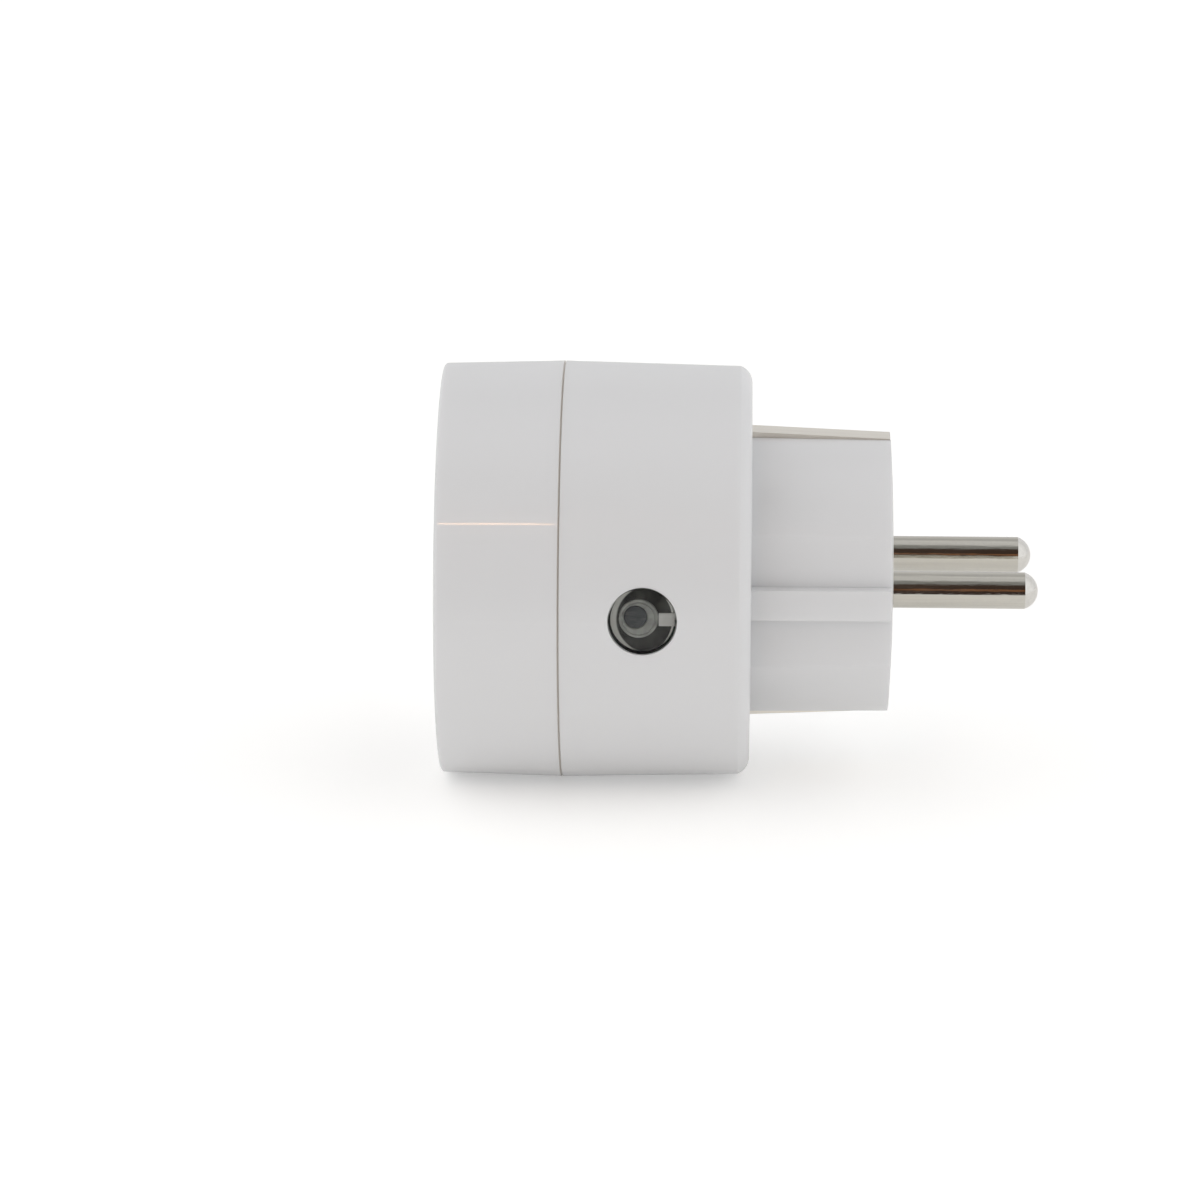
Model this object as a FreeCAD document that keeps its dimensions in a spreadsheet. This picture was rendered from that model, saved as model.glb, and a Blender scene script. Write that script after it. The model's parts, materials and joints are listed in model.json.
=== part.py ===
import FreeCAD, Part
import math
import os
import re
import Sketcher

# Plug-in power meter: a round earthed adapter with a two-pin plug at the back, an appliance socket at the
# front, and the metering board, relay and push button between them.
#
# Frame: millimetres, +Z up. The origin is the middle of the plug's face, +Y runs along the pins and into the
# wall socket, and +X points to the side that the push button is on. Everything but the pins is at y < 0.

OUT = "parts"
TINY = 0.1  # how far a cut runs past the face that it starts from

DIMENSIONS = {
    # shell, from the back to the front
    "neck_length": 18.5,
    "rear_length": 24.7,
    "front_length": 16.0,
    "back_radius": 27.02,
    "seam_radius": 27.55,
    "front_radius": 27.13,
    "rim_depth": 1.5,
    "rim_drop": 0.75,
    "back_round": 2.3,
    "front_round": 0.5,
    "wall": 2.0,
    "seam_gap": 0.2,
    "seam_depth": 0.25,
    "seam_clearance": 0.03,
    "tongue_length": 2.2,
    "tongue_depth": 1.3,
    # plug neck and its face
    "neck_root_radius": 18.65,
    "neck_tip_radius": 18.45,
    "neck_cavity_radius": 16.6,
    "neck_flat": 16.4,
    "neck_side_wall": 1.7,
    "flat_reach": 10.0,
    "key_width": 4.0,
    "face_wall": 2.2,
    "face_drop": 0.3,
    "face_pad_radius": 13.6,
    # plug pins
    "pin_radius": 2.4,
    "pin_length": 19.0,
    "tip_length": 1.75,
    "pin_offset": 9.5,
    "pin_seat_radius": 1.9,
    "pin_gap": 0.05,
    "pin_recess": 0.3,
    "pin_foot": 0.1,
    "pillar_radius": 4.2,
    "pillar_end": 5.0,
    "collar_radius": 3.1,
    "collar_length": 1.0,
    "tail_radius": 1.4,
    "tail_end": 8.0,
    # earth contacts on the plug and in the socket
    "strip_width": 4.2,
    "strip_thickness": 0.8,
    "strip_root_height": 19.25,
    "strip_tip_height": 18.46,
    "strip_tip_inset": 0.4,
    "strip_leg_height": 16.7,
    "strip_tail": 5.1,
    "channel_width": 4.3,
    "channel_floor": 17.35,
    "spring_width": 5.0,
    "spring_thickness": 0.5,
    "spring_bulge_height": 16.9,
    "bridge_inner_radius": 17.4,
    "bridge_outer_radius": 19.0,
    "earth_hole_offset": 10.0,
    "earth_hole_radius": 2.7,
    "earth_sleeve_radius": 2.5,
    "earth_sleeve_wall": 0.6,
    "earth_sleeve_length": 11.0,
    # socket
    "well_radius": 19.6,
    "well_depth": 17.5,
    "well_wall": 1.6,
    "well_floor": 1.8,
    "mouth_chamfer": 0.8,
    "key_flat": 17.0,
    "key_slot": 5.0,
    "socket_hole_radius": 2.75,
    "window_width": 5.4,
    "window_inner": 17.3,
    "window_outer": 21.4,
    "contact_inner_radius": 2.42,
    "contact_outer_radius": 3.1,
    "contact_slit": 0.9,
    "carrier_radius": 15.5,
    "carrier_half_width": 13.9,
    "carrier_thickness": 1.5,
    "carrier_boss": 10.5,
    "carrier_boss_radius": 2.2,
    # shutter behind the socket holes
    "post_radius": 1.5,
    "post_clearance": 0.06,
    "shutter_thickness": 2.2,
    "shutter_hub_radius": 4.0,
    "shutter_blade_radius": 3.2,
    "shutter_arm_width": 5.0,
    "shutter_gap": 0.15,
    "shutter_ramp": 1.4,
    "shutter_spring_radius": 2.7,
    "shutter_spring_wire": 0.2,
    "shutter_spring_pitch": 0.5,
    # push button, its guide and its switch
    "button_back": 13.9,
    "button_hole_radius": 4.45,
    "button_radius": 4.35,
    "button_reach": 27.25,
    "button_face": 1.4,
    "button_skirt": 0.9,
    "flange_radius": 5.3,
    "flange_bottom": 23.3,
    "flange_top": 24.35,
    "stem_offset": 1.1,
    "stem_radius": 2.6,
    "stem_bore": 1.6,
    "stem_sink": 0.2,
    "stem_roof": 0.6,
    "stem_bottom": 21.4,
    "guide_inner": 5.5,
    "guide_outer": 6.2,
    "guide_bottom": 15.25,
    "guide_top": 24.2,
    "latch_width": 1.7,
    "latch_tip": 2.4,
    "latch_root": 7.2,
    "latch_bottom": 21.5,
    "latch_top": 22.4,
    "latch_thickness": 1.2,
    "latch_sink": 0.6,
    "switch_size": 6.0,
    "switch_height": 3.6,
    "plunger_radius": 1.8,
    "plunger_bore": 1.85,
    "plunger_bottom": 18.35,
    "plunger_top": 21.35,
    "switch_board_x": 14.2,
    "switch_board_thickness": 1.0,
    "switch_board_half_height": 6.9,
    # fastening
    "screw_place": 15.9,
    "screw_radius": 1.25,
    "screw_hole_radius": 1.32,
    "screw_head_radius": 2.1,
    "screw_head_height": 1.2,
    "counterbore_radius": 2.3,
    "counterbore_depth": 1.4,
    "screw_length": 12.0,
    "rear_post_radius": 2.8,
    "rear_post_length": 3.2,
    "front_post_radius": 2.4,
    # board and what it carries
    "board_radius": 24.0,
    "board_thickness": 1.6,
    "board_gap": 0.2,
    "lead_radius": 0.35,
    "terminal_thickness": 0.9,
    "terminal_half_width": 2.0,
    "terminal_outer": 14.2,
    "relay_half_width": 9.5,
    "relay_low": 13.2,
    "relay_high": 3.6,
    "relay_height": 14.8,
    "relay_wall": 0.5,
    "relay_coil_x": 4.6,
    "relay_base_thickness": 1.2,
    "bobbin_radius": 4.0,
    "bobbin_flange": 0.8,
    "bobbin_length": 9.5,
    "winding_radius": 3.4,
    "core_radius": 1.5,
    "core_length": 9.95,
    "yoke_x": 1.4,
    "yoke_thickness": 1.0,
    "yoke_half_width": 3.6,
    "armature_gap": 0.6,
    "lever_thickness": 0.9,
    "arm_x": 2.5,
    "arm_length": 7.4,
    "arm_thickness": 0.5,
    "rivet_radius": 1.2,
    "rivet_height": 0.5,
    "contact_gap": 0.75,
    "electrolytic_radius": 4.0,
    "electrolytic_length": 11.2,
    "varistor_radius": 4.6,
    "varistor_thickness": 3.4,
    "choke_radius": 3.9,
    "choke_length": 9.0,
    "foot_width": 0.4,
    "foot_reach": 0.9,
}

# positions along Y and sizes that follow from the ones above
DERIVED = {
    "back_y": "0 - neck_length",
    "tip_radius": "(pin_radius * pin_radius + tip_length * tip_length) / (2 * tip_length)",
    "seam_y": "back_y - rear_length",
    "front_y": "seam_y - front_length",
    "plate_y": "back_y - wall",
    "well_floor_y": "front_y + well_depth",
    "floor_back_y": "well_floor_y + well_floor",
    "key_reach": "sqrt(well_radius * well_radius - key_flat * key_flat)",
    "neck_cavity_half": "neck_flat - neck_side_wall",
    "shutter_y": "floor_back_y + shutter_gap",
    "shutter_back_y": "shutter_y + shutter_thickness",
    "carrier_y": "floor_back_y + 5.0",
    "carrier_back_y": "carrier_y + carrier_thickness",
    "board_back_y": "plate_y - board_gap",
    "board_y": "board_back_y - board_thickness",
    "rear_post_y": "plate_y - rear_post_length",
    "button_y": "back_y - button_back",
    "stem_y": "button_y - stem_offset",
    "strip_end_y": "back_y - strip_tail",
    "relay_top_y": "board_back_y + relay_height",
    "relay_z": "0 - (relay_low + relay_high) / 2",
    "yoke_y": "board_back_y + relay_base_thickness + 0.05",
    "coil_y": "yoke_y + yoke_thickness + 0.05",
    "core_top_y": "coil_y + core_length",
    "lever_y": "core_top_y + armature_gap",
    "contact_y": "lever_y - arm_length",
}

doc = FreeCAD.newDocument("power_meter")
sheet = doc.addObject("Spreadsheet::Sheet", "Params")
scratch = doc.addObject("Spreadsheet::Sheet", "Scratch")
for row, (alias, value) in enumerate(list(DIMENSIONS.items()) + list(DERIVED.items()), start=1):
    sheet.set(f"A{row}", alias)
    sheet.set(f"B{row}", f"={value}" if isinstance(value, str) else str(value))
    sheet.setAlias(f"B{row}", alias)
    sheet.recompute()
doc.recompute()

SIGNS = (1, -1)
SUBPARTS = []  # the object that each node is exported from, in order


# ---- expressions ----

def bound(expression):
    """The expression with each alias written as FreeCAD reads it outside the sheet."""
    return re.sub(r"\b([a-z]\w*)\b(?!\()", r"Params.\1", expression)


def number(expression):
    """The expression's present value."""
    scratch.set("A1", "=" + bound(expression))
    scratch.recompute()
    return float(scratch.get("A1"))


def signed(sign, expression):
    return expression if sign > 0 else f"-({expression})"


def bind(thing, prop, expression):
    thing.setExpression(prop, bound(expression))


def keep(thing, name):
    """Name a finished sub-part and list it for export."""
    thing.Label = name
    SUBPARTS.append(thing)
    return thing


# ---- sketches ----

def new_sketch(body, name, role, offset="0"):
    """A sketch on one of the body's own origin planes, moved along the plane's normal."""
    sketch = body.newObject("Sketcher::SketchObject", name)
    plane = next(f for f in body.Origin.OriginFeatures if f.Role == role)
    sketch.AttachmentSupport = (plane, [""])
    sketch.MapMode = "FlatFace"
    bind(sketch, "AttachmentOffset.Base.z", offset)
    return sketch


def fix(sketch, kind, geometry, point, expression):
    """Tie one coordinate of a sketch point to an expression."""
    constraint = Sketcher.Constraint(kind, -1, 1, geometry, point, number(expression))
    index = sketch.addConstraint(constraint)
    sketch.setExpression(f"Constraints[{index}]", bound(expression))


def polygon(sketch, points):
    """A closed outline of straight lines through points given as expressions."""
    corners = [FreeCAD.Vector(number(a), number(b), 0) for a, b in points]
    count = len(points)
    first = sketch.GeometryCount
    for i in range(count):
        sketch.addGeometry(Part.LineSegment(corners[i], corners[(i + 1) % count]))
    for i in range(count):
        sketch.addConstraint(Sketcher.Constraint("Coincident", first + i, 2, first + (i + 1) % count, 1))
    for i, (a, b) in enumerate(points):
        fix(sketch, "DistanceX", first + i, 1, a)
        fix(sketch, "DistanceY", first + i, 1, b)


def rectangle(sketch, a_low, a_high, b_low, b_high):
    polygon(sketch, [(a_low, b_low), (a_high, b_low), (a_high, b_high), (a_low, b_high)])


def circle(sketch, a, b, radius):
    centre = FreeCAD.Vector(number(a), number(b), 0)
    index = sketch.addGeometry(Part.Circle(centre, FreeCAD.Vector(0, 0, 1), number(radius)))
    fix(sketch, "DistanceX", index, 3, a)
    fix(sketch, "DistanceY", index, 3, b)
    constraint = sketch.addConstraint(Sketcher.Constraint("Radius", index, number(radius)))
    sketch.setExpression(f"Constraints[{constraint}]", bound(radius))


def double_d(sketch, radius, half_width):
    """A circle about the sketch's origin with its two sides cut flat."""
    size, half = number(radius), number(half_width)
    angle = math.acos(half / size)
    round_part = Part.Circle(FreeCAD.Vector(), FreeCAD.Vector(0, 0, 1), size)
    arcs = [sketch.addGeometry(Part.ArcOfCircle(round_part, start, start + math.pi - 2 * angle))
            for start in (angle, angle + math.pi)]
    rise = math.sqrt(size * size - half * half)
    sides = [sketch.addGeometry(Part.LineSegment(FreeCAD.Vector(-s * half, s * rise, 0),
                                                 FreeCAD.Vector(-s * half, -s * rise, 0))) for s in SIGNS]
    for arc, side, next_arc in ((arcs[0], sides[0], arcs[1]), (arcs[1], sides[1], arcs[0])):
        sketch.addConstraint(Sketcher.Constraint("Coincident", arc, 3, -1, 1))
        sketch.addConstraint(Sketcher.Constraint("Coincident", arc, 2, side, 1))
        sketch.addConstraint(Sketcher.Constraint("Coincident", side, 2, next_arc, 1))
        sketch.addConstraint(Sketcher.Constraint("Vertical", side))
    fix(sketch, "DistanceX", sides[0], 1, f"-({half_width})")
    fix(sketch, "DistanceX", sides[1], 1, half_width)
    index = sketch.addConstraint(Sketcher.Constraint("Radius", arcs[0], size))
    sketch.setExpression(f"Constraints[{index}]", bound(radius))


# ---- PartDesign features ----

def new_body(name):
    body = doc.addObject("PartDesign::Body", name)
    return keep(body, name)


def check_change(body, before, adds):
    """A feature that points the wrong way changes nothing and reports no error."""
    doc.recompute()
    change = body.Shape.Volume - before
    if (change if adds else -change) < 1e-6:
        raise RuntimeError(f"{body.Label}: {body.Tip.Label} changes the volume by {change}")


def volume_of(body):
    return 0.0 if body.Shape.isNull() else body.Shape.Volume


def turned(body, name, points, adds=True):
    """Turn an outline of (radius, y) points about the Y axis, as a solid or as a cut."""
    before = volume_of(body)
    sketch = new_sketch(body, name + "_outline", "XY_Plane")
    polygon(sketch, points)
    feature = body.newObject("PartDesign::Revolution" if adds else "PartDesign::Groove", name)
    feature.Profile = sketch
    feature.ReferenceAxis = (sketch, ["V_Axis"])
    feature.Angle = 360
    check_change(body, before, adds)


# the origin plane square to each axis, and whether its normal runs along that axis
PLANES = {"x": ("YZ_Plane", 1), "y": ("XZ_Plane", -1), "z": ("XY_Plane", 1)}


def extruded(body, name, axis, start, end, draw, adds=True):
    """Pad or pocket what draw(sketch) puts in a sketch, from start to end along an axis.

    Sketch coordinates are (y, z) along x, (x, z) along y, and (x, y) along z."""
    before = volume_of(body)
    role, facing = PLANES[axis]
    sketch = new_sketch(body, name + "_outline", role, start if facing > 0 else f"-({start})")
    draw(sketch)
    feature = body.newObject("PartDesign::Pad" if adds else "PartDesign::Pocket", name)
    feature.Profile = sketch
    rises = number(end) > number(start)
    bind(feature, "Length", f"({end}) - ({start})" if rises else f"({start}) - ({end})")
    along_normal = rises == (facing > 0)
    feature.Reversed = along_normal != adds
    check_change(body, before, adds)


def round_edges(body, name, kind, size, wanted):
    """Fillet or Chamfer the circular edges that match any wanted (radius, y) pair of expressions."""
    places = [(number(radius), number(y)) for radius, y in wanted]
    edges = []
    for index, edge in enumerate(body.Shape.Edges, start=1):
        if not hasattr(edge.Curve, "Radius"):
            continue
        radius, y = edge.Curve.Radius, edge.Curve.Center.y
        if any(abs(radius - r) < 1e-4 and abs(y - place) < 1e-4 for r, place in places):
            edges.append(f"Edge{index}")
    if not edges:
        raise RuntimeError(f"{body.Label}: no edge for {name}")
    base = body.Tip
    feature = body.newObject(f"PartDesign::{kind}", name)
    feature.Base = (base, edges)
    bind(feature, "Radius" if kind == "Fillet" else "Size", size)
    doc.recompute()


# ---- Part primitives ----

TURN = {
    "x": FreeCAD.Rotation(FreeCAD.Vector(0, 1, 0), 90),
    "y": FreeCAD.Rotation(FreeCAD.Vector(1, 0, 0), -90),
    "z": FreeCAD.Rotation(),
}


def place(thing, at, rotation=None):
    thing.Placement = FreeCAD.Placement(FreeCAD.Vector(), rotation or FreeCAD.Rotation())
    for axis, expression in zip("xyz", at):
        bind(thing, f"Placement.Base.{axis}", expression)
    return thing


def block(low, high):
    """A box between two corners given as expressions."""
    thing = doc.addObject("Part::Box", "block")
    for prop, start, end in zip(("Length", "Width", "Height"), low, high):
        bind(thing, prop, f"({end}) - ({start})")
    return place(thing, low)


def rod(radius, start, length, axis="y"):
    """A cylinder from the middle of its first end, along an axis."""
    thing = doc.addObject("Part::Cylinder", "rod")
    bind(thing, "Radius", radius)
    bind(thing, "Height", length)
    return place(thing, start, TURN[axis])


def joined(things):
    fuse = doc.addObject("Part::MultiFuse", "joined")
    fuse.Shapes = things
    return fuse


def without(base, *tools):
    cut = doc.addObject("Part::Cut", "without")
    cut.Base = base
    cut.Tool = tools[0] if len(tools) == 1 else joined(list(tools))
    return cut


def common(*things):
    both = doc.addObject("Part::MultiCommon", "common")
    both.Shapes = list(things)
    return both


def grouped(things):
    """Separate solids that share one node."""
    group = doc.addObject("Part::Compound", "group")
    group.Links = things
    return group


def tube(outer, inner, start, length, axis="y"):
    return without(rod(outer, start, length, axis), rod(inner, start, length, axis))


# ---- shell ----

def at_screws(draw_one):
    """Repeat a drawing at the four screw places."""
    for sx in SIGNS:
        for sz in SIGNS:
            draw_one(signed(sx, "screw_place"), signed(sz, "screw_place"))


def circles_at_screws(radius):
    return lambda sketch: at_screws(lambda a, b: circle(sketch, a, b, radius))


def circles_at_pins(radius):
    def draw(sketch):
        for s in SIGNS:
            circle(sketch, signed(s, "pin_offset"), "0", radius)
    return draw


def rear_shell():
    body = new_body("rear_shell")
    seam = "seam_y + seam_gap / 2"
    turned(body, "outside", [
        ("0", seam), ("seam_radius", seam), ("back_radius", "back_y - rim_depth"),
        ("back_radius - rim_drop", "back_y"), ("neck_root_radius", "back_y"),
        ("neck_tip_radius", "-face_drop"), ("face_pad_radius", "0"), ("0", "0")])
    round_edges(body, "back_rim", "Fillet", "back_round", [("back_radius - rim_drop", "back_y")])
    turned(body, "cavity", [
        ("0", seam), ("seam_radius - wall", seam), ("back_radius - wall", "plate_y"), ("0", "plate_y")],
        adds=False)
    extruded(body, "neck_cavity", "y", "plate_y", "-face_wall",
             lambda sketch: double_d(sketch, "neck_cavity_radius", "neck_cavity_half"), adds=False)

    def beside_keys(sketch):
        for sx in SIGNS:
            for sz in SIGNS:
                rectangle(sketch, signed(sx, "neck_flat"), signed(sx, "neck_root_radius + 1"),
                          signed(sz, "key_width / 2"), signed(sz, "flat_reach"))

    extruded(body, "neck_flats", "y", f"{TINY}", "back_y", beside_keys, adds=False)

    def earth_channels(sketch):
        for s in SIGNS:
            rectangle(sketch, "-channel_width / 2", "channel_width / 2",
                      signed(s, "channel_floor"), signed(s, "strip_root_height + 0.2"))

    def strip_leg_slots(sketch):
        for s in SIGNS:
            rectangle(sketch, "-channel_width / 2", "channel_width / 2",
                      signed(s, "strip_leg_height - 0.2"), signed(s, "strip_root_height"))

    extruded(body, "channels", "y", f"{TINY}", f"plate_y - {TINY}", earth_channels, adds=False)
    extruded(body, "leg_slots", "y", f"{TINY}", "-face_wall + 0.6", strip_leg_slots, adds=False)
    extruded(body, "pin_pillars", "y", "-face_wall", "-pillar_end", circles_at_pins("pillar_radius"))
    extruded(body, "pin_holes", "y", f"{TINY}", f"-pillar_end - {TINY}",
             circles_at_pins("pin_seat_radius + pin_gap"), adds=False)
    extruded(body, "pin_recesses", "y", f"{TINY}", "-pin_recess",
             circles_at_pins("pin_radius + pin_gap"), adds=False)
    extruded(body, "earth_hole", "y", f"{TINY}", f"-face_wall - {TINY}",
             lambda sketch: circle(sketch, "0", "earth_hole_offset", "earth_hole_radius"), adds=False)
    extruded(body, "screw_posts", "y", "plate_y", "rear_post_y", circles_at_screws("rear_post_radius"))
    extruded(body, "screw_holes", "y", f"back_y + {TINY}", f"rear_post_y - {TINY}",
             circles_at_screws("screw_hole_radius"), adds=False)
    extruded(body, "counterbores", "y", f"back_y + {TINY}", "back_y - counterbore_depth",
             circles_at_screws("counterbore_radius"), adds=False)
    extruded(body, "button_hole", "x", "seam_radius - 8", "seam_radius + 1",
             lambda sketch: circle(sketch, "button_y", "0", "button_hole_radius"), adds=False)

    # the arm that stops the button's flange, hooked inwards from the side wall beside the hole
    def latch(sketch):
        tip, root = "button_y + latch_tip", "button_y + latch_root"
        rooted = "back_radius - wall + latch_sink"
        polygon(sketch, [
            ("latch_bottom", tip), ("latch_top", tip), ("latch_top", f"{root} - latch_thickness"),
            (rooted, f"{root} - latch_thickness"), (rooted, root), ("latch_bottom", root)])

    extruded(body, "button_latch", "z", "-latch_width / 2", "latch_width / 2", latch)


def front_cover():
    body = new_body("front_cover")
    seam = "seam_y - seam_gap / 2"
    lip = "seam_y + seam_gap / 2 - seam_clearance"
    tongue = "seam_radius - wall - 0.15"
    turned(body, "outside", [
        ("0", "well_floor_y"), ("well_radius", "well_floor_y"), ("well_radius", "front_y + mouth_chamfer"),
        ("well_radius + mouth_chamfer", "front_y"), ("front_radius", "front_y"), ("seam_radius", seam),
        ("seam_radius - seam_depth", seam), ("seam_radius - seam_depth", lip),
        (tongue, lip), (tongue, "seam_y + tongue_length"),
        (f"{tongue} - tongue_depth", "seam_y + tongue_length"), (f"{tongue} - tongue_depth", "seam_y - 2"),
        ("front_radius - wall", "seam_y - 3"), ("front_radius - wall", "front_y + wall"),
        ("well_radius + well_wall", "front_y + wall"), ("well_radius + well_wall", "floor_back_y"),
        ("0", "floor_back_y")])
    round_edges(body, "front_rim", "Fillet", "front_round", [("front_radius", "front_y")])

    def key_pads(sketch):
        for sx in SIGNS:
            for sz in SIGNS:
                polygon(sketch, [
                    (signed(sx, "key_flat"), signed(sz, "key_slot / 2")),
                    (signed(sx, "well_radius + 0.3"), signed(sz, "key_slot / 2")),
                    (signed(sx, "well_radius - 1.4"), signed(sz, "key_reach - 0.35")),
                    (signed(sx, "key_flat"), signed(sz, "key_reach"))])

    extruded(body, "keys", "y", "well_floor_y", "front_y + 1.5", key_pads)
    extruded(body, "screw_posts", "y", "front_y + wall", "rear_post_y - 0.1",
             circles_at_screws("front_post_radius"))
    extruded(body, "pilot_holes", "y", "rear_post_y", "back_y - screw_length - 1",
             circles_at_screws("screw_hole_radius"), adds=False)
    extruded(body, "socket_holes", "y", f"well_floor_y - {TINY}", f"floor_back_y + {TINY}",
             circles_at_pins("socket_hole_radius"), adds=False)
    round_edges(body, "hole_leads", "Chamfer", "0.4", [("socket_hole_radius", "well_floor_y")])

    def windows(sketch):
        for s in SIGNS:
            rectangle(sketch, "-window_width / 2", "window_width / 2",
                      signed(s, "window_inner"), signed(s, "window_outer"))

    extruded(body, "earth_windows", "y", "front_y + 4", f"floor_back_y + {TINY}", windows, adds=False)
    extruded(body, "shutter_post", "y", "floor_back_y", "carrier_y - 0.2",
             lambda sketch: circle(sketch, "0", "0", "post_radius"))

    def carrier_bosses(sketch):
        for s in SIGNS:
            circle(sketch, signed(s, "carrier_boss"), signed(s, "carrier_boss"), "carrier_boss_radius")

    extruded(body, "carrier_bosses", "y", "floor_back_y", "carrier_y", carrier_bosses)


def housing_screws():
    screws = []
    for sx in SIGNS:
        for sz in SIGNS:
            x, z = signed(sx, "screw_place"), signed(sz, "screw_place")
            head_y = "back_y - counterbore_depth"
            shank = rod("screw_radius", (x, "back_y - screw_length", z), "screw_length - counterbore_depth")
            head = rod("screw_head_radius", (x, head_y, z), "screw_head_height")
            slots = [block((f"{x} - {a}", f"{head_y} + 0.5", f"{z} - {b}"),
                           (f"{x} + {a}", "back_y", f"{z} + {b}")) for a, b in ((1.2, 0.25), (0.25, 1.2))]
            screws.append(without(joined([shank, head]), *slots))
    keep(grouped(screws), "housing_screws")


# ---- plug ----

def plug_pin(name, sign):
    """A turned brass pin: shank with a low-domed tip, thin seat in the neck, collar and solder tail."""
    x = signed(sign, "pin_offset")
    shank = rod("pin_radius", (x, "pin_foot", "0"), "pin_length - tip_length - pin_foot")
    seat = rod("pin_seat_radius", (x, "-pillar_end", "0"), "pillar_end + pin_foot")
    tip = doc.addObject("Part::Sphere", "tip")
    bind(tip, "Radius", "tip_radius")
    bind(tip, "Angle1", "asin((tip_radius - tip_length) / tip_radius)")
    place(tip, (x, "pin_length - tip_radius", "0"), TURN["y"])
    collar = rod("collar_radius", (x, "-pillar_end - collar_length", "0"), "collar_length")
    tail = rod("tail_radius", (x, "-tail_end", "0"), "tail_end - pillar_end")
    keep(joined([shank, seat, tip, collar, tail]), name)


def plug_terminal(name, sign):
    """A copper strap from a pin's tail, along the side of the neck, to the board."""
    body = new_body(name)

    def strap(sketch):
        outline = [("pin_offset - 1.6", "-tail_end"), ("pin_offset - 1.6", "-tail_end - terminal_thickness"),
                   ("terminal_outer - terminal_thickness", "-tail_end - terminal_thickness"),
                   ("terminal_outer - terminal_thickness", "board_back_y"),
                   ("terminal_outer", "board_back_y"), ("terminal_outer", "-tail_end")]
        polygon(sketch, [(signed(sign, x), y) for x, y in outline])

    extruded(body, "strap", "z", "-terminal_half_width", "terminal_half_width", strap)


def earth_strip(name, sign):
    """A plated strip lying along the neck, hooked into the face and carried through the back plate."""
    body = new_body(name)
    root, tip = "strip_root_height", "strip_tip_height"

    def strip(sketch):
        outline = [("strip_end_y", root), ("back_y", root), ("-strip_tip_inset", tip),
                   ("-strip_tip_inset", "strip_leg_height"),
                   ("-strip_tip_inset - strip_thickness", "strip_leg_height"),
                   ("-strip_tip_inset - strip_thickness", f"{tip} - strip_thickness"),
                   ("back_y", f"{root} - strip_thickness"), ("strip_end_y", f"{root} - strip_thickness")]
        polygon(sketch, [(y, signed(sign, z)) for y, z in outline])

    extruded(body, "strip", "x", "-strip_width / 2", "strip_width / 2", strip)


def earth_spring(name, sign):
    """A leaf spring from the tail of the earth strip to the wall of the socket well, bulging into it."""
    body = new_body(name)
    inner = [("strip_end_y + 2.4", "strip_root_height"), ("floor_back_y - 0.4", "strip_root_height"),
             ("well_floor_y - 1", "strip_root_height - 0.7"),
             ("well_floor_y - 7", "spring_bulge_height"), ("well_floor_y - 9", "spring_bulge_height"),
             ("front_y + 4.6", "well_radius")]
    outer = [(y, f"{z} + spring_thickness") for y, z in reversed(inner)]

    def leaf(sketch):
        polygon(sketch, [(y, signed(sign, z)) for y, z in inner + outer])

    extruded(body, "leaf", "x", "-spring_width / 2", "spring_width / 2", leaf)


def earth_bridge():
    """A half ring of copper that joins the tails of the two earth strips."""
    body = new_body("earth_bridge")
    thickness = 0.8
    extruded(body, "ring", "y", "strip_end_y", f"strip_end_y - {thickness}",
             lambda sketch: circle(sketch, "0", "0", "bridge_outer_radius"))
    extruded(body, "middle", "y", "strip_end_y + 1", "strip_end_y - 2",
             lambda sketch: circle(sketch, "0", "0", "bridge_inner_radius"), adds=False)

    def button_side(sketch):
        rectangle(sketch, "strip_width / 2", "board_radius", "-board_radius", "board_radius")

    extruded(body, "half", "y", "strip_end_y + 1", "strip_end_y - 2", button_side, adds=False)


def earth_pin_contact():
    """A slit sleeve behind the earth hole in the plug's face, with a tail to the board."""
    at = ("0", "-face_wall - 0.1 - earth_sleeve_length", "earth_hole_offset")
    outer = "earth_sleeve_radius + earth_sleeve_wall"
    sleeve = tube(outer, "earth_sleeve_radius", at, "earth_sleeve_length")
    slit = block(("-0.4", at[1], "earth_hole_offset"),
                 ("0.4", "-face_wall", f"earth_hole_offset + {outer} + 1"))
    low = f"earth_hole_offset - ({outer})"
    tail = block(("-1", "board_back_y", low), ("1", f"{at[1]} + 2", f"{low} + earth_sleeve_wall"))
    keep(joined([without(sleeve, slit), tail]), "earth_pin_contact")


# ---- socket ----

def socket_contact(name, sign):
    """A round four-leaf contact that grips a 4.8 mm pin, with a solder foot."""
    x = signed(sign, "pin_offset")
    length = "board_y - 1.0 - (carrier_back_y - 0.4)"
    sleeve = tube("contact_outer_radius", "contact_inner_radius", (x, "carrier_back_y - 0.4", "0"), length)
    reach = "contact_outer_radius + 1"
    slits = [block((f"{x} - {a}", "carrier_back_y - 1", f"-({b})"), (f"{x} + {a}", "board_y - 3", b))
             for a, b in (("contact_slit / 2", reach), (reach, "contact_slit / 2"))]
    foot = block((f"{x} - 1", "board_y - 1.2", "contact_inner_radius"),
                 (f"{x} + 1", "board_y", "contact_outer_radius"))
    keep(joined([without(sleeve, *slits), foot]), name)


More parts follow.
